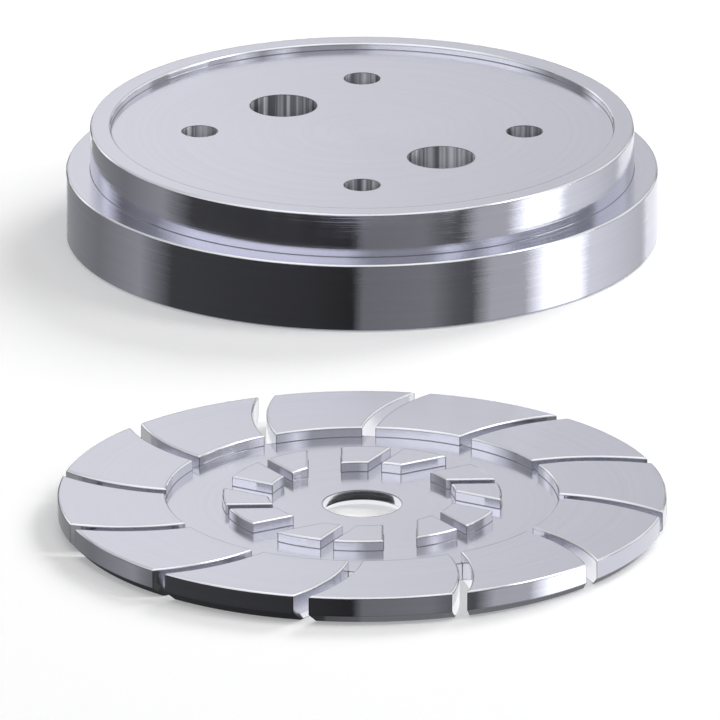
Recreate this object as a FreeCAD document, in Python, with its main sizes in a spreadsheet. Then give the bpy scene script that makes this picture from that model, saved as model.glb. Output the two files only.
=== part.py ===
"""Shower screen of a 58 mm espresso group, in two pieces: a bored dispersion block and, beside it,
the slotted screen that is screwed under it.

Both pieces rest on the plane z = 0 with their axes upright, the block behind (+Y) and the
screen in front (-Y). The origin is midway between them, and lengths are in millimetres.
"""

import FreeCAD
import Part
import math
import os

from FreeCAD import Placement, Rotation, Vector
from Sketcher import Constraint

document = FreeCAD.newDocument("ShowerScreen")

# difference below which two radii or heights count as one
TOLERANCE = 1e-4


# Driving dimensions

SIZES = [
    # the two pieces
    ("outer_radius", 29.0, "radius of the block's flange and of the screen"),
    ("piece_spacing", 82.7, "distance between the axes of the two pieces"),
    ("edge_break", 0.15, "bevel on turned and milled edges"),
    ("seam_angle", 10.0, "direction from the axis of the seam in turned faces, degrees"),
    # the dispersion block
    ("flange_height", 6.8, "height of the block's widest step"),
    ("shelf_width", 2.35, "width of the shelf on the flange, outside the boss"),
    ("boss_height", 4.4, "height of the boss above that shelf"),
    ("rim_width", 2.05, "width of the raised rim around the boss's top"),
    ("rim_height", 0.7, "height of that rim above the recess inside it"),
    ("water_hole_radius", 1.775, "radius of each water hole"),
    ("water_hole_circle", 15.9, "radius of the circle of water holes"),
    ("water_hole_count", 4, "number of water holes"),
    ("water_hole_angle", 0.0, "direction of the first water hole, degrees from +X"),
    ("screw_hole_radius", 3.3, "clearance for an M6 screw"),
    ("screw_hole_circle", 10.92, "radius of the circle of screw holes"),
    ("screw_hole_count", 2, "number of screw holes"),
    ("screw_hole_angle", 135.0, "direction of the first screw hole, degrees from +X"),
    ("thread_core_radius", 2.5, "core of the M6 thread for the screen's screw"),
    ("thread_core_depth", 7.0, "depth of that core's straight wall"),
    ("drill_point_angle", 118.0, "angle of the cone at its end, degrees"),
    # the slotted screen
    ("floor_thickness", 1.7, "thickness of the screen inside its recess"),
    ("pad_height", 1.05, "height of pads and petals above that floor"),
    ("rim_bevel", 0.85, "bevel under the screen's rim"),
    ("petal_inner_radius", 18.7, "radius of the recess, where the petals begin"),
    ("petal_count", 12, "number of petals, and of the slots between them"),
    ("slot_width", 1.25, "width of each curved slot"),
    ("slot_curve_radius", 18.8, "radius of the slot's centre line"),
    ("slot_step", 0.3, "floor left in the slot's mouth before the slot passes through"),
    ("slot_angle", 87.9, "direction of the first slot's start, degrees from +X"),
    ("slot_slant", 9.7, "lean of the slot from the radius at its start, degrees"),
    ("slot_sweep", 60.0, "angle of the slot's arc, which runs out past the rim, degrees"),
    ("slot_lead", 5.0, "angle of arc by which the slot's mouth opens into the recess"),
    ("pad_inner_radius", 8.92, "inner radius of the ring of pads"),
    ("pad_outer_radius", 13.3, "outer radius of the ring of pads"),
    ("pad_pair_count", 6, "number of pairs of pads"),
    ("channel_width", 3.15, "width of the channel between two pairs of pads"),
    ("channel_offset", 3.6, "distance of its centre line from the axis"),
    ("channel_angle", 90.0, "direction in which the first channel runs out, degrees"),
    ("groove_width", 1.2, "width of the groove between the two pads of a pair"),
    ("groove_offset", 3.03, "distance of its centre line from the axis"),
    ("groove_angle", 62.3, "direction in which the first groove runs out, degrees"),
    ("centre_hole_radius", 3.8, "radius of the screen's centre hole"),
    ("countersink_depth", 0.7, "depth of the 45 degree countersink under that hole"),
]

sheet = document.addObject("Spreadsheet::Sheet", "Sizes")
for row, (alias, value, note) in enumerate(SIZES, start=1):
    sheet.set(f"A{row}", alias.replace("_", " "))
    sheet.set(f"B{row}", str(value))
    sheet.setAlias(f"B{row}", alias)
    sheet.set(f"C{row}", note)
document.recompute()


class Size:
    """A value together with the expression that gives it, so that sums of sizes can be bound too."""

    def __init__(self, value, expression):
        self.value = value
        self.expression = expression

    def __add__(self, other):
        return Size(self.value + other.value, f"({self.expression} + {other.expression})")

    def __sub__(self, other):
        return Size(self.value - other.value, f"({self.expression} - {other.expression})")

    def half(self):
        return Size(self.value / 2, f"{self.expression} / 2")


def size(alias):
    """A driving dimension."""
    return Size(float(getattr(sheet, alias)), f"Sizes.{alias}")


ZERO = Size(0.0, "0")


# Sketches

def origin_feature(body, role):
    """One of the body's own origin planes or axes."""
    for feature in body.Origin.OriginFeatures:
        if feature.Role == role:
            return feature
    raise LookupError(role)


def turned_sketch(body, name, plane, axis, turn):
    """A sketch on one of the body's origin planes, turned about that axis of its own by the angle."""
    sketch = body.newObject("Sketcher::SketchObject", name)
    sketch.AttachmentSupport = (origin_feature(body, plane), [""])
    sketch.MapMode = "FlatFace"
    sketch.AttachmentOffset = Placement(Vector(0, 0, 0), Rotation(axis, turn.value))
    sketch.setExpression("AttachmentOffset.Rotation.Angle", turn.expression)
    return sketch


def level_sketch(body, name, level, turn):
    """A level sketch at that height, its X axis turned from the body's X axis by the angle."""
    sketch = turned_sketch(body, name, "XY_Plane", Vector(0, 0, 1), turn)
    sketch.setExpression("AttachmentOffset.Base.z", level.expression)
    document.recompute()
    return sketch


def profile_sketch(body, name):
    """An upright sketch through the axis, its Y axis along it, from which turned shapes are swept.

    It stands at an angle at which no slot or pad of the screen ends, so that the seam of the
    turned faces runs through the middle of a petal.
    """
    sketch = turned_sketch(body, name, "XZ_Plane", Vector(0, 1, 0), size("seam_angle"))
    document.recompute()
    return sketch


def bind(sketch, kind, *geometry, to):
    """Adds a dimension to the sketch and ties it to a size."""
    index = sketch.addConstraint(Constraint(kind, *geometry, to.value))
    sketch.setExpression(f"Constraints[{index}]", to.expression)


def outline(sketch, corners):
    """Straight lines around the corners, each corner an x and a y.

    A corner level with the one before it, or straight above or below it, is held so. Any other
    is held by its distance from the sketch's axes, or on the axis.
    """
    lines = []
    for (x, y), (next_x, next_y) in zip(corners, corners[1:] + corners[:1]):
        start = Vector(x.value, y.value, 0)
        end = Vector(next_x.value, next_y.value, 0)
        lines.append(sketch.addGeometry(Part.LineSegment(start, end), False))
    for line, following in zip(lines, lines[1:] + lines[:1]):
        sketch.addConstraint(Constraint("Coincident", line, 2, following, 1))
    sides = (("DistanceX", "Vertical", -2), ("DistanceY", "Horizontal", -1))
    for number, corner in enumerate(corners):
        for place, (distance, straight, axis) in enumerate(sides):
            if number and corner[place].value == corners[number - 1][place].value:
                sketch.addConstraint(Constraint(straight, lines[number - 1]))
            elif corner[place].value == 0:
                sketch.addConstraint(Constraint("PointOnObject", lines[number], 1, axis))
            else:
                bind(sketch, distance, -1, 1, lines[number], 1, to=corner[place])


# Solid features

def new_feature(body, kind, name, **settings):
    """A solid feature at the end of the body."""
    feature = body.newObject(f"PartDesign::{kind}", name)
    for key, value in settings.items():
        setattr(feature, key, value)
    body.Tip = feature
    return feature


def turned(body, kind, name, sketch):
    """A Revolution or Groove: what the sketch sweeps in one turn around the body's axis."""
    feature = new_feature(body, kind, name, Profile=sketch, Angle=360)
    feature.ReferenceAxis = (sketch, ["V_Axis"])
    document.recompute()
    return feature


def check_cut(cut):
    """Refuses a cut that takes nothing off the feature before it."""
    if not cut.Shape.Volume < cut.BaseFeature.Shape.Volume:
        raise ValueError(f"{cut.Name} cuts nothing")


def repeated_pocket(body, name, sketch, count, depth=None):
    """The sketch cut downwards, to that depth or right through, and repeated around the axis."""
    cut = new_feature(body, "Pocket", name, Profile=sketch)
    if depth:
        cut.setExpression("Length", depth.expression)
    else:
        cut.Type = "ThroughAll"
    document.recompute()
    check_cut(cut)
    pattern = new_feature(body, "PolarPattern", f"{name}Pattern", Originals=[cut], Angle=360)
    pattern.Axis = (origin_feature(body, "Z_Axis"), [""])
    pattern.setExpression("Occurrences", count.expression)
    document.recompute()
    return pattern


def break_edges(body, name, base, names):
    """A small 45 degree bevel on the named edges of the base feature, or around the named faces."""
    bevel = new_feature(body, "Chamfer", name, Base=(base, names))
    bevel.setExpression("Size", size("edge_break").expression)
    document.recompute()


def same(first, second):
    return abs(first - second) < TOLERANCE


def circle_edges(shape, radius, level):
    """Names of the full circles of that radius at that height."""
    names = []
    for number, edge in enumerate(shape.Edges, start=1):
        if not isinstance(edge.Curve, Part.Circle) or not edge.isClosed():
            continue
        if same(edge.Curve.Radius, radius.value) and same(edge.Curve.Center.z, level.value):
            names.append(f"Edge{number}")
    if not names:
        raise LookupError(f"no circle of radius {radius.value} at {level.value}")
    return names


def flat_faces(shape, level):
    """Names of the level faces at that height."""
    names = []
    for number, face in enumerate(shape.Faces, start=1):
        box = face.BoundBox
        if same(box.ZMin, level.value) and same(box.ZMax, level.value):
            names.append(f"Face{number}")
    if not names:
        raise LookupError(f"no flat face at {level.value}")
    return names


# Dispersion block: a turned disc with a flange, a narrower boss and a raised rim around its top

block = document.addObject("PartDesign::Body", "dispersion_block")
block.Label = "dispersion_block"
block.setExpression("Placement.Base.y", size("piece_spacing").half().expression)

outer_radius = size("outer_radius")
flange_height = size("flange_height")
boss_radius = outer_radius - size("shelf_width")
block_top = flange_height + size("boss_height")
recess_radius = boss_radius - size("rim_width")
recess_level = block_top - size("rim_height")

profile = profile_sketch(block, "BlockProfile")
outline(profile, [
    (ZERO, ZERO),
    (outer_radius, ZERO),
    (outer_radius, flange_height),
    (boss_radius, flange_height),
    (boss_radius, block_top),
    (recess_radius, block_top),
    (recess_radius, recess_level),
    (ZERO, recess_level),
])
turned(block, "Revolution", "BlockTurned", profile)


def hole_circle(name, kind):
    """Through holes of that kind, evenly spaced on a circle."""
    radius = size(f"{kind}_radius")
    distance = size(f"{kind}_circle")
    sketch = level_sketch(block, f"{name}Sketch", block_top, size(f"{kind}_angle"))
    circle = Part.Circle(Vector(distance.value, 0, 0), Vector(0, 0, 1), radius.value)
    hole = sketch.addGeometry(circle, False)
    sketch.addConstraint(Constraint("PointOnObject", hole, 3, -1))
    bind(sketch, "DistanceX", -1, 1, hole, 3, to=distance)
    bind(sketch, "Radius", hole, to=radius)
    repeated_pocket(block, name, sketch, size(f"{kind}_count"))


hole_circle("WaterHole", "water_hole")
hole_circle("ScrewHole", "screw_hole")

# blind core of the thread for the screen's screw, drilled from below
core_radius = size("thread_core_radius")
core_depth = size("thread_core_depth")
half_point = size("drill_point_angle").half()
point_height = Size(
    core_radius.value / math.tan(math.radians(half_point.value)),
    f"{core_radius.expression} / tan({half_point.expression} * 1 deg)",
)
profile = profile_sketch(block, "ThreadCoreProfile")
outline(profile, [
    (ZERO, ZERO),
    (core_radius, ZERO),
    (core_radius, core_depth),
    (ZERO, core_depth + point_height),
])
thread_core = turned(block, "Groove", "ThreadCore", profile)
check_cut(thread_core)

names = []
for radius, level in (
    (outer_radius, ZERO),
    (outer_radius, flange_height),
    (boss_radius, block_top),
    (recess_radius, block_top),
    (core_radius, ZERO),
):
    names += circle_edges(thread_core.Shape, radius, level)
break_edges(block, "BlockEdges", thread_core, names)


# Slotted screen: a turned disc with a recess and a ring of pads, cut through by curved slots

screen = document.addObject("PartDesign::Body", "slotted_screen")
screen.Label = "slotted_screen"
screen.setExpression("Placement.Base.y", f"-{size('piece_spacing').half().expression}")

floor_level = size("floor_thickness")
screen_top = floor_level + size("pad_height")
rim_bevel = size("rim_bevel")
petal_inner_radius = size("petal_inner_radius")
pad_outer_radius = size("pad_outer_radius")
pad_inner_radius = size("pad_inner_radius")
centre_hole_radius = size("centre_hole_radius")
countersink_depth = size("countersink_depth")

profile = profile_sketch(screen, "ScreenProfile")
outline(profile, [
    (centre_hole_radius + countersink_depth, ZERO),
    (outer_radius - rim_bevel, ZERO),
    (outer_radius, rim_bevel),
    (outer_radius, screen_top),
    (petal_inner_radius, screen_top),
    (petal_inner_radius, floor_level),
    (pad_outer_radius, floor_level),
    (pad_outer_radius, screen_top),
    (pad_inner_radius, screen_top),
    (pad_inner_radius, floor_level),
    (centre_hole_radius, floor_level),
    (centre_hole_radius, countersink_depth),
])
turned(screen, "Revolution", "ScreenTurned", profile)


def straight_cuts(name, kind):
    """Straight cuts of that kind through the ring of pads, one for each pair of pads.

    Each runs out along the sketch's X axis and lies to the left of it. It begins midway between
    the centre hole and the pads, and ends midway between the pads and the petals.
    """
    offset = size(f"{kind}_offset")
    half_width = size(f"{kind}_width").half()
    inner = (centre_hole_radius + pad_inner_radius).half()
    outer = (pad_outer_radius + petal_inner_radius).half()
    sketch = level_sketch(screen, f"{name}Sketch", screen_top, size(f"{kind}_angle"))
    outline(sketch, [
        (inner, offset - half_width),
        (outer, offset - half_width),
        (outer, offset + half_width),
        (inner, offset + half_width),
    ])
    repeated_pocket(screen, name, sketch, size("pad_pair_count"), size("pad_height"))


def direction(angle):
    """The unit vector at that angle from the X axis, in degrees."""
    return Vector(math.cos(math.radians(angle)), math.sin(math.radians(angle)), 0)


def bind_angle(sketch, line, to):
    """Holds the line at that angle from the sketch's X axis, in degrees."""
    bind(sketch, "Angle", line, to=Size(math.radians(to.value), to.expression))


def curved_slots(name, level, lead=ZERO, depth=None):
    """Slots on an arc that leans clockwise from the radius and runs out past the rim.

    The arc's start point lies on the sketch's X axis, just outside the recess. The cut begins
    there, or before it by the angle of arc that lead gives.
    """
    curve = size("slot_curve_radius")
    half_width = size("slot_width").half()
    start_radius = petal_inner_radius + size("slot_step")
    start_angle = Size(90.0, "90") - size("slot_slant")
    opening_angle = start_angle + lead
    ending_angle = start_angle - size("slot_sweep")
    start = Vector(start_radius.value, 0, 0)
    centre = start - direction(start_angle.value) * curve.value

    sketch = level_sketch(screen, f"{name}Sketch", level, size("slot_angle"))
    spoke = sketch.addGeometry(Part.LineSegment(centre, start), True)
    sketch.addConstraint(Constraint("PointOnObject", spoke, 2, -1))
    bind(sketch, "DistanceX", -1, 1, spoke, 2, to=start_radius)
    bind(sketch, "Distance", spoke, to=curve)
    bind_angle(sketch, spoke, start_angle)

    radii = (curve - half_width, curve + half_width)
    ends = (math.radians(ending_angle.value), math.radians(opening_angle.value))
    sides = []
    for radius in radii:
        circle = Part.Circle(centre, Vector(0, 0, 1), radius.value)
        side = sketch.addGeometry(Part.ArcOfCircle(circle, *ends), False)
        sketch.addConstraint(Constraint("Coincident", side, 3, spoke, 1))
        bind(sketch, "Radius", side, to=radius)
        sides.append(side)
    for end, angle in ((1, ending_angle), (2, opening_angle)):
        points = [centre + direction(angle.value) * radius.value for radius in radii]
        closing = sketch.addGeometry(Part.LineSegment(*points), False)
        sketch.addConstraint(Constraint("Coincident", closing, 1, sides[0], end))
        sketch.addConstraint(Constraint("Coincident", closing, 2, sides[1], end))
        sketch.addConstraint(Constraint("PointOnObject", spoke, 1, closing))
        bind_angle(sketch, closing, angle)
    return repeated_pocket(screen, name, sketch, size("petal_count"), depth)


straight_cuts("Channel", "channel")
straight_cuts("Groove", "groove")
curved_slots("SlotMouth", screen_top, size("slot_lead"), size("pad_height"))
slots = curved_slots("Slot", floor_level)
break_edges(screen, "ScreenEdges", slots, flat_faces(slots.Shape, screen_top))


# Check and export

for item in document.Objects:
    if "Invalid" in item.State or "Error" in item.State:
        raise ValueError(f"{item.Name} failed: {item.State}")
for piece in (block, screen):
    if piece.Shape.isNull() or not piece.Shape.isValid() or len(piece.Shape.Solids) != 1:
        raise ValueError(f"{piece.Label} is not one valid solid")

os.makedirs("parts", exist_ok=True)
for piece in (block, screen):
    piece.Shape.exportStep(f"parts/{piece.Label}.step")
    print(piece.Label, f"{piece.Shape.Volume:.1f} mm3", piece.Shape.BoundBox)
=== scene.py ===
"""Studio scene for the two-piece shower screen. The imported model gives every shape, and this script
gives the finish of its surfaces, the floor, the light and the camera. Lengths are in metres.
"""

import math

import bpy
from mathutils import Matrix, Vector


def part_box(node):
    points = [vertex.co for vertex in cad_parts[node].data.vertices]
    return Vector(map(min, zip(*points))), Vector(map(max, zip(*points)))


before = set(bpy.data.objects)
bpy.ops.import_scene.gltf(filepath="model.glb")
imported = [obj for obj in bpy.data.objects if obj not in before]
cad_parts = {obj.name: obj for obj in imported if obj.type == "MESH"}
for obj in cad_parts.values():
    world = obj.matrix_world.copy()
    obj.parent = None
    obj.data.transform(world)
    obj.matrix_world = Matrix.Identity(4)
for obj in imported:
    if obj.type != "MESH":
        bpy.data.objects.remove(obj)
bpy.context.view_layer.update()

scene = bpy.context.scene
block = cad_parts["dispersion_block"]
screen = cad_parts["slotted_screen"]


# Camera

# The view of the photograph, measured from the outlines of both pieces. The origin lies a little
# right of and below the middle of the picture, which the shift sets.
CAMERA_ELEVATION = math.radians(19.635)
CAMERA_DISTANCE = 2.698
CAMERA_REACH = 20
SENSOR_WIDTH = 36
PICTURE_SIZE = 720
FOCAL_PIXELS = 27922
ORIGIN_PIXEL = (362.13, 374.32)

camera_data = bpy.data.cameras.new("camera")
camera_data.sensor_width = SENSOR_WIDTH
camera_data.lens = SENSOR_WIDTH * FOCAL_PIXELS / PICTURE_SIZE
camera_data.shift_x = (PICTURE_SIZE / 2 - ORIGIN_PIXEL[0]) / PICTURE_SIZE
camera_data.shift_y = (ORIGIN_PIXEL[1] - PICTURE_SIZE / 2) / PICTURE_SIZE
camera_data.clip_end = CAMERA_REACH
camera = bpy.data.objects.new("camera", camera_data)
camera.location = (
    0,
    -CAMERA_DISTANCE * math.cos(CAMERA_ELEVATION),
    CAMERA_DISTANCE * math.sin(CAMERA_ELEVATION),
)
camera.rotation_euler = (math.pi / 2 - CAMERA_ELEVATION, 0, 0)
scene.collection.objects.link(camera)
scene.camera = camera
scene.view_settings.view_transform = "Standard"


# Node helpers

WHITE = (1, 1, 1, 1)


class Nodes:
    """Adds nodes to a tree. An input takes a number, a tuple or another node's socket."""

    def __init__(self, tree):
        self.tree = tree
        tree.nodes.clear()

    def add(self, kind, *inputs, **settings):
        """A node of that kind with its inputs in order, None leaving one as it is."""
        node = self.tree.nodes.new(f"ShaderNode{kind}")
        for key, value in settings.items():
            setattr(node, key, value)
        for socket, value in zip(node.inputs, inputs):
            self.put(socket, value)
        return node

    def put(self, socket, value):
        if isinstance(value, bpy.types.NodeSocket):
            self.tree.links.new(value, socket)
        elif value is not None:
            socket.default_value = value

    def fill(self, node, values):
        """Fills the node's inputs by their names."""
        for name, value in values.items():
            self.put(node.inputs[name], value)

    def math(self, operation, *inputs, clamp=False):
        return self.add("Math", *inputs, operation=operation, use_clamp=clamp).outputs[0]

    def vector(self, operation, *inputs):
        """A vector, or the number that a dot product or a length is."""
        node = self.add("VectorMath", *inputs, operation=operation)
        return node.outputs["Value" if operation in ("DOT_PRODUCT", "LENGTH") else "Vector"]

    def noise(self, dimensions, place, scale, **more):
        node = self.add("TexNoise", noise_dimensions=dimensions)
        self.fill(node, {"Vector": place, "Scale": scale, **more})
        return node.outputs[0]

    def ramp(self, value, low, high, to_low=0.0, to_high=1.0):
        """The value taken from the range low to high into another range, and held inside it."""
        return self.add("MapRange", value, low, high, to_low, to_high).outputs[0]

    def mix(self, factor, first, second):
        """A number between two numbers."""
        node = self.add("Mix", factor)
        self.fill(node, {"A": first, "B": second})
        return node.outputs["Result"]

    def mix_colour(self, factor, first, second):
        node = self.add("Mix", factor, data_type="RGBA")
        for socket, value in zip([s for s in node.inputs if s.type == "RGBA"], (first, second)):
            self.put(socket, value)
        return [s for s in node.outputs if s.type == "RGBA"][0]


def new_material(name):
    material = bpy.data.materials.new(name)
    material.use_nodes = True
    return material, Nodes(material.node_tree)


# Steel

# Colours in pairs are the two ends of the streaks in them.
PLAIN_STEEL = (0.573, 0.58, 0.662, 1), (0.607, 0.615, 0.704, 1)
# The bores' colours: painted reflection, in streaks from dark to light.
BORE_PAINTED_REFLECTION = (0.25, 0.257, 0.285, 1), (0.91, 0.93, 1.0, 1)
# A lighter copy of the steel, a painted highlight on milled walls and bevels.
MILLED_PAINTED_LIGHT = (0.735, 0.742, 0.79, 1)
# The painted shade of the dark line beside each edge, and how strongly it is painted.
EDGE_PAINTED_SHADE = (0.1, 0.1, 0.11, 1)
EDGE_SHADE_STRENGTH = 0.9

# Roughness from the smoothest mark to the roughest.
POLISHED = 0.09, 0.14
TURNED = 0.06, 0.09
REAMED = 0.4, 0.5

# How far the marks turn a wall's normal aside: broad lines, and the fine grain in them.
WALL_SWAY = 0.022
WALL_GRAIN = 0.04

# The marks' height, and the share of it that shows on flats and on turned walls.
MARK_HEIGHT = 0.00002
FLAT_DEPTH = 0.08
WALL_DEPTH = 0.6

EDGE_RADIUS = 0.00016
EDGE_SAMPLES = 8
# How like the true normal the rounded one is where an edge's painted dark line begins, and where it
# is full.
EDGE_LIKENESS = 0.995, 0.93

# Tool marks: how many per metre across them, and how many per radian along them.
FINE_MARKS = 9000, 0.8
BROAD_MARKS = 2200, 0.5
SWAY_LINES = 8000, 2.0
SWAY_GRAINS = 30000, 300
# The share of the broad marks in the colour and in the height.
BROAD_COLOUR = 0.5
BROAD_HEIGHT = 0.35

# The bores' streaks per metre, and the noise values between which a streak's painted reflection
# changes from dark to light.
BORE_STREAKS = 1600
STREAK_NOISE = 0.38, 0.62

# Most of a noise texture's values lie in this range, and nearly all of them in the wider one.
NOISE = 0.3, 0.7
WIDE_NOISE = 0.25, 0.75

# How the kinds of face are told. A flat's normal is more upright than the first, a wall's is less
# upright than the second, and a bevel's lies between them. A turned wall points away from the axis by
# more than the third, and is farther from it than the radius.
FLAT_NORMAL = 0.9
WALL_NORMAL = 0.3
OUTWARD_NORMAL = 0.6
TURNED_RADIUS = 0.02


def steel(name, centre, bore_radius):
    """Turned steel: fine marks run around the upright axis through that centre.

    Flats and turned outer walls share one colour. Milled walls and bevels are painted lighter, a
    painted highlight.
    Bores, which are the walls nearer to the axis than bore_radius, are rough, and streaked dark and
    light with painted reflection. The turned walls have the deepest marks, so that they blur what
    they mirror up and down.
    """
    material, n = new_material(name)
    local = n.vector("SUBTRACT", n.add("TexCoord").outputs["Object"], centre)
    x, y, z = n.add("SeparateXYZ", local).outputs
    normal = n.add("NewGeometry").outputs["True Normal"]
    normal_z = n.add("SeparateXYZ", normal).outputs[2]
    upright = n.math("ABSOLUTE", normal_z)
    radius = n.math("SQRT", n.math("ADD", n.math("MULTIPLY", x, x), n.math("MULTIPLY", y, y)))
    along = n.vector("DOT_PRODUCT", normal, local)
    level_part = n.math("SUBTRACT", along, n.math("MULTIPLY", normal_z, z))
    outward = n.math("DIVIDE", level_part, radius)

    def marks(fineness, around):
        """Noise stretched around the axis, with so many marks per metre and per radian."""
        turn_x, turn_y = [
            n.math("MULTIPLY", n.math("DIVIDE", side, radius), around) for side in (x, y)
        ]
        across = [n.math("MULTIPLY", side, fineness) for side in (radius, z)]
        place = n.add("CombineXYZ", *across, turn_x).outputs[0]
        return n.noise("4D", place, 1.0, W=turn_y)

    # the kinds of face
    flat = n.math("GREATER_THAN", upright, FLAT_NORMAL)
    faces_out = n.math("GREATER_THAN", outward, OUTWARD_NORMAL)
    far_out = n.math("GREATER_THAN", radius, TURNED_RADIUS)
    not_up = n.math("LESS_THAN", normal_z, WALL_NORMAL)
    turned_wall = n.math("MULTIPLY", n.math("MULTIPLY", faces_out, far_out), not_up)
    near_axis = n.math("LESS_THAN", radius, bore_radius)
    bore = n.math("MULTIPLY", near_axis, n.math("SUBTRACT", 1.0, flat))
    other = n.math("MAXIMUM", n.math("MAXIMUM", flat, turned_wall), bore)
    # the milled walls and bevels, where the painted highlight goes
    milled_painted_light = n.math("SUBTRACT", 1.0, other)

    # colour and roughness
    fine = marks(*FINE_MARKS)
    broad = marks(*BROAD_MARKS)
    streaks = n.noise("2D", local, BORE_STREAKS)
    polished, turned = [n.ramp(fine, *NOISE, *ends) for ends in (POLISHED, TURNED)]
    reamed = n.ramp(streaks, *NOISE, *REAMED)
    roughness = n.mix(turned_wall, n.mix(bore, polished, reamed), turned)
    shade = n.ramp(n.mix(BROAD_COLOUR, fine, broad), *NOISE)
    # the bores' colour streaks are painted reflection, dark and light
    painted_reflection_stripe = n.ramp(streaks, *STREAK_NOISE)
    plain_steel = n.mix_colour(shade, *PLAIN_STEEL)
    colour = n.mix_colour(bore, plain_steel, n.mix_colour(painted_reflection_stripe, *BORE_PAINTED_REFLECTION))
    # milled walls and bevels take the lighter copy of the steel, a painted highlight
    colour = n.mix_colour(milled_painted_light, colour, MILLED_PAINTED_LIGHT)

    # a thin painted dark line along each edge, painted shade, on the faces beside its bevel and not
    # on the bevel itself
    rounded = n.add("Bevel", EDGE_RADIUS, samples=EDGE_SAMPLES).outputs[0]
    likeness = n.vector("DOT_PRODUCT", rounded, normal)
    not_bevel = n.math("MAXIMUM", flat, n.math("LESS_THAN", upright, WALL_NORMAL))
    edge = n.math("MULTIPLY", n.ramp(likeness, *EDGE_LIKENESS, 0.0, EDGE_SHADE_STRENGTH), not_bevel)
    colour = n.mix_colour(edge, colour, EDGE_PAINTED_SHADE)

    # the tool's marks turn a wall a little from side to side, line by line, and roughen it
    sway = n.ramp(marks(*SWAY_LINES), *WIDE_NOISE, -WALL_SWAY, WALL_SWAY)
    grain = n.ramp(marks(*SWAY_GRAINS), *WIDE_NOISE, -WALL_GRAIN, WALL_GRAIN)
    sway = n.math("MULTIPLY", n.math("ADD", sway, grain), turned_wall)
    aside = n.add("CombineXYZ", n.math("MULTIPLY", y, -1.0), x, 0.0).outputs[0]
    swayed = n.add("VectorMath", operation="SCALE")
    n.fill(swayed, {"Vector": n.vector("NORMALIZE", aside), "Scale": sway})
    swayed = n.vector("NORMALIZE", n.vector("ADD", rounded, swayed.outputs[0]))
    depth = n.mix(turned_wall, FLAT_DEPTH, WALL_DEPTH)
    bump = n.add("Bump")
    n.fill(bump, {
        "Strength": 1.0,
        "Distance": MARK_HEIGHT,
        "Height": n.math("MULTIPLY", depth, n.mix(BROAD_HEIGHT, fine, broad)),
        "Normal": swayed,
    })

    shader = n.add("BsdfPrincipled", distribution="GGX")
    n.fill(shader, {
        "Base Color": colour,
        "Metallic": 1.0,
        "Roughness": roughness,
        "Anisotropic": 1.0,
        "Anisotropic Rotation": 0.25,
        "Normal": bump.outputs[0],
        "Tangent": n.add("Tangent", direction_type="RADIAL", axis="Z").outputs[0],
    })
    n.add("OutputMaterial", shader.outputs[0])
    return material


def middle(piece):
    low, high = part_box(piece)
    return ((low.x + high.x) / 2, (low.y + high.y) / 2, 0)


# All the block's bores lie nearer to its axis than this. The screen's hole isn't streaked.
BLOCK_BORES = 0.022
NO_BORES = 0.0

block.material_slots[0].material = steel(
    "turned_steel_block", middle("dispersion_block"), BLOCK_BORES
)
screen.material_slots[0].material = steel(
    "turned_steel_screen", middle("slotted_screen"), NO_BORES
)


# Floor

def background_rays(n):
    """1 on a ray from the camera, off polished metal or through glass, and 0 on any other."""
    path = n.add("LightPath")
    shown = n.math("ADD", path.outputs["Is Camera Ray"], path.outputs["Is Glossy Ray"])
    return n.math("ADD", shown, path.outputs["Is Transmission Ray"], clamp=True)


LAYER_DEPTH = 0.000005
FLOOR_LAYER = 10


def layer(number):
    """The height of a layer between the pieces and the floor, which is the lowest one.

    A flat card hides those in the layers below it.
    """
    return -LAYER_DEPTH * number


FLOOR_SIZE = 20.0
# The paper's own glow near the pieces and far from them, where less lamp light reaches it.
FLOOR_GLOW = 0.26, 0.8
GLOW_DISTANCES = 0.15, 1.2
PAPER = (0.82, 0.82, 0.82, 1), (0.85, 0.85, 0.85, 1)
PAPER_GRAIN = 900

floor_mesh = bpy.data.meshes.new("floor")
half = FLOOR_SIZE / 2
floor_mesh.from_pydata(
    [(-half, -half, 0), (half, -half, 0), (half, half, 0), (-half, half, 0)], [], [(0, 1, 2, 3)]
)
floor = bpy.data.objects.new("floor", floor_mesh)
floor.location.z = layer(FLOOR_LAYER)
scene.collection.objects.link(floor)

material, n = new_material("floor_paper")
place = n.add("TexCoord").outputs["Object"]
diffuse = n.add("BsdfDiffuse", n.mix_colour(n.noise("3D", place, PAPER_GRAIN), *PAPER))
strength = n.ramp(n.vector("LENGTH", place), *GLOW_DISTANCES, *FLOOR_GLOW)
glow = n.add("Emission", WHITE, n.math("MULTIPLY", background_rays(n), strength))
paper = n.add("AddShader", diffuse.outputs[0], glow.outputs[0])
n.add("OutputMaterial", paper.outputs[0])
floor_mesh.materials.append(material)


# World and lamps

WORLD_LIGHT = 0.2
LAMP_AIM = Vector((0, 0, 0.005))

world = bpy.data.worlds.new("studio")
world.use_nodes = True
scene.world = world
n = Nodes(world.node_tree)
sky = n.add("Background", WHITE, n.mix(background_rays(n), WORLD_LIGHT, 1.0))
n.add("OutputWorld", sky.outputs[0])


def area_light(name, place, size, radiance):
    """A soft light whose own surface has that radiance, 1 being white."""
    data = bpy.data.lights.new(name, "AREA")
    data.shape = "RECTANGLE"
    data.size, data.size_y = size
    data.energy = radiance * math.pi * size[0] * size[1]
    light = bpy.data.objects.new(name, data)
    light.location = place
    direction = LAMP_AIM - Vector(place)
    light.rotation_euler = direction.to_track_quat("-Z", "Y").to_euler()
    light.visible_camera = False
    light.visible_glossy = False
    scene.collection.objects.link(light)


area_light("overhead", (0, -0.05, 1.3), (1.2, 1.5), 0.9)
area_light("right_high", (1.2, 0.0, 1.1), (0.45, 0.75), 7.0)
area_light("right_back", (0.75, 0.95, 0.75), (0.6, 0.5), 13.0)


# Cards and panels for the metal

# They show in the metal, but not to the camera, and they light nothing else. Their azimuths are in
# degrees, counted from the front towards the right.

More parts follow.
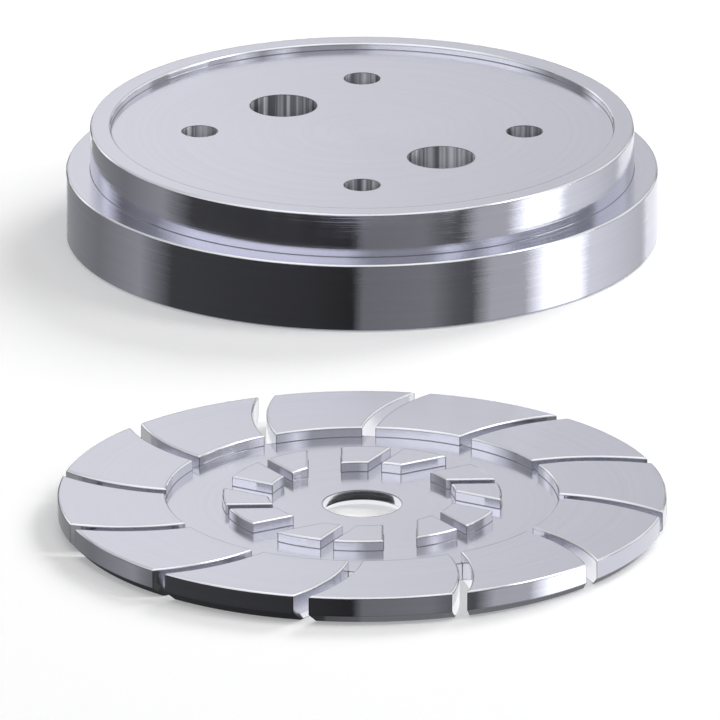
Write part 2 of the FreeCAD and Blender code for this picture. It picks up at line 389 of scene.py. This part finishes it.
def hidden_card(name, corners, faces, radiance):
    """A card with that radiance, a number or a function that makes it from the card's nodes."""
    mesh = bpy.data.meshes.new(name)
    mesh.from_pydata(corners, [], faces)
    card = bpy.data.objects.new(name, mesh)
    card.visible_camera = False
    card.visible_diffuse = False
    card.visible_shadow = False
    scene.collection.objects.link(card)
    material, n = new_material(name)
    shader = n.add("Emission", WHITE, radiance(n) if callable(radiance) else radiance)
    n.add("OutputMaterial", shader.outputs[0])
    mesh.materials.append(material)
    return mesh


def strip(first, second):
    """The corners and faces between two rows of as many points."""
    count = len(first)
    return first + second, [(i, i + 1, i + count + 1, i + count) for i in range(count - 1)]


def toward(centre, turn, distance, height):
    """The point at that azimuth and distance from a centre."""
    across = math.radians(turn)
    x = centre[0] + distance * math.sin(across)
    y = centre[1] - distance * math.cos(across)
    return (x, y, height)


PANEL_DISTANCE = 1.0
PANEL_STEPS = 8
BAND_STEP = 2
ROUND_STEPS = 48


def spread(start, end):
    """Azimuths from start to end in even steps."""
    return [start + (end - start) * step / PANEL_STEPS for step in range(PANEL_STEPS + 1)]


def on_cylinder(turn, elevation):
    """The point at that azimuth and elevation on the upright cylinder that the panels lie on."""
    height = PANEL_DISTANCE * math.tan(math.radians(elevation))
    return toward((0, 0), turn, PANEL_DISTANCE, height)


def around_pieces(elevation):
    """A function that gives the point at an azimuth, at that elevation."""
    return lambda turn: on_cylinder(turn, elevation)


def panel(name, start, end, low, high, radiance):
    """A panel from one azimuth to another and from one elevation to another, all in degrees."""
    turns = spread(start, end)
    rows = [[on_cylinder(turn, elevation) for turn in turns] for elevation in (low, high)]
    hidden_card(name, *strip(*rows), radiance)


def glowing_band(name, levels, first_edge, second_edge):
    """A band whose glow changes smoothly.

    The levels are pairs of an azimuth and the radiance there. Each edge is a function that gives its
    point for an azimuth.
    """
    turns, glow = [], []
    for (start, before), (end, after) in zip(levels, levels[1:]):
        steps = math.ceil((end - start) / BAND_STEP)
        for step in range(steps):
            turns.append(start + (end - start) * step / steps)
            glow.append(before + (after - before) * step / steps)
    turns.append(levels[-1][0])
    glow.append(levels[-1][1])
    rows = [[edge(turn) for turn in turns] for edge in (first_edge, second_edge)]
    mesh = hidden_card(
        name, *strip(*rows), lambda n: n.add("Attribute", attribute_name="glow").outputs["Fac"]
    )
    mesh.attributes.new("glow", "FLOAT", "POINT").data.foreach_set("value", glow + glow)


def round_card(name, centre, radius, height, radiance):
    """A flat round card."""
    turns = [360 * step / ROUND_STEPS for step in range(ROUND_STEPS)]
    rim = [toward(centre, turn, radius, height) for turn in turns]
    hidden_card(name, rim, [range(ROUND_STEPS)], radiance)


# Panels around both pieces: start and end azimuth, low and high elevation, radiance.
PANELS = (
    ("strip_low", 77, 101, 0, 12, 4.0),
    ("strip_high", 77, 101, 30, 55, 3.0),
    ("dark_front_low", -45, 50, 0, 10, 0.02),
    ("dark_front_high", -5, 50, 26, 55, 0.5),
    ("dark_left_low", -100, -45, 0, 10, 0.02),
    ("pale_left_high", -100, -5, 26, 55, 0.9),
    ("grey_right_low", 50, 75, 0, 10, 0.4),
    ("grey_right_high", 50, 75, 26, 55, 0.4),
    ("grey_back_left_low", -150, -100, 0, 10, 0.7),
    ("grey_back_left_high", -150, -100, 26, 55, 0.7),
    ("dark_back", 125, 235, 0, 7, 0.1),
    ("crown_front", -90, 90, 60, 80, 1.3),
    ("crown_back", 90, 270, 60, 80, 1.4),
)
# A band between the low and high panels. The shelf and the inner walls show it.
RING = (
    (-154, 0.5),
    (-140, 1.4),
    (-125, 0.25),
    (-100, 0.45),
    (-78, 1.6),
    (-28, 1.6),
    (-6, 1.3),
    (4, 0.6),
    (29, 0.6),
    (38, 1.6),
    (49, 0.6),
    (60, 1.6),
    (72, 0.6),
    (90, 0.4),
    (118, 0.4),
)

for settings in PANELS:
    panel(*settings)
glowing_band("ring", RING, around_pieces(10), around_pieces(26))

# Round cards under the screen, under its centre hole and high above. The dark one is smaller than
# the hole, so that the hole's wall is dark in the middle and white at both ends.
CENTRE = middle("slotted_screen")
DARK_CENTRE = (CENTRE[0] - 0.0005, CENTRE[1] + 0.0003)
UNDER_RADIUS = 0.0278

round_card("card_under_screen", CENTRE, UNDER_RADIUS, layer(3), 1.1)
round_card("card_round_bore", CENTRE, 0.0045, layer(2), 1.1)
round_card("card_under_bore", DARK_CENTRE, 0.003, layer(1), 0.02)
round_card("card_zenith", (0, 0), 0.2, 1.2, 0.7)

# A card on the floor at the screen's left end and behind it.
LEFT_BACK = -128, -85
LEFT_BACK_RADII = 0.0285, 0.0365

rows = [
    [toward(CENTRE, turn, radius, layer(6)) for turn in spread(*LEFT_BACK)]
    for radius in LEFT_BACK_RADII
]
hidden_card("card_left_back", *strip(*rows), 0.5)

# An upright pair of cards behind the screen: the light one shows in the walls of its back slots, and
# the dark one keeps those slots out of the block's walls.
FACING_HEIGHT = 0.00275
FACING_RADIUS = 0.0295
FACING_GAP = 0.0002
FACING_SCREEN = ((150, 1.0), (210, 1.0), (216, 0.5), (240, 0.5))
FACING_BLOCK = ((150, 0.25), (180, 0.22), (185.5, 0.03), (240, 0.045))


def around_screen(radius, height):
    """A function that gives the point at an azimuth, so far from the screen's axis."""
    return lambda turn: toward(CENTRE, turn, radius, height)


for side, radius, levels in (
    ("screen", FACING_RADIUS, FACING_SCREEN),
    ("block", FACING_RADIUS + FACING_GAP, FACING_BLOCK),
):
    foot, top = [around_screen(radius, height) for height in (0.0, FACING_HEIGHT)]
    glowing_band(f"card_facing_{side}", levels, foot, top)
glowing_band(
    "card_back_foot",
    FACING_SCREEN,
    around_screen(UNDER_RADIUS, layer(2)),
    around_screen(FACING_RADIUS, layer(2)),
)

# Bands on the floor beside both pieces, which their outer walls mirror to the camera. The azimuths
# are those of the mirrored rays.
WALL_LIGHT = (
    (-170, 0.35),
    (-125, 0.24),
    (-97, 0.38),
    (-80, 0.07),
    (-20, 0.045),
    (-4, 0.03),
    (0, 0.22),
    (26, 0.26),
    (36, 0.14),
    (43, 0.11),
    (51, 0.56),
    (66, 0.58),
    (76, 1.9),
    (93, 1.9),
)
BLOCK_LIGHT = WALL_LIGHT + ((99, 1.0), (140, 0.65), (146, 0.95))
SCREEN_LIGHT = WALL_LIGHT + ((100, 1.0), (175, 1.05))


def beside(piece, height, reach):
    """A function that gives the floor point so far out that the piece's wall mirrors at an azimuth.

    The mirrored ray turns by twice as much as the wall does.
    """
    centre = middle(piece)
    low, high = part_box(piece)
    radius = (high.x - low.x) / 2

    def point(turn):
        wall = toward(centre, turn / 2, radius, height)
        return toward(wall, turn, reach, height)

    return point


for piece, reach, height, levels in (
    ("dispersion_block", 0.3, layer(8), BLOCK_LIGHT),
    ("slotted_screen", 0.03, layer(4), SCREEN_LIGHT),
):
    near, far = [beside(piece, height, distance) for distance in (0.0, reach)]
    glowing_band(f"beside_{piece}", levels, near, far)

# A backdrop close behind, a little darker to the right, that shades the flats.
BACKDROP_SIDES = -0.2, 0.2
BACKDROP_HEIGHTS = 0.06, 0.3
BACKDROP_Y = 0.35
SHADE_SIDES = -0.02, 0.035
SHADE_LEVELS = 1.0, 0.75


def backdrop_glow(n):
    x = n.add("SeparateXYZ", n.add("TexCoord").outputs["Object"]).outputs[0]
    return n.ramp(x, *SHADE_SIDES, *SHADE_LEVELS)


rows = [[(x, BACKDROP_Y, z) for x in BACKDROP_SIDES] for z in BACKDROP_HEIGHTS]
hidden_card("backdrop", *strip(*rows), backdrop_glow)
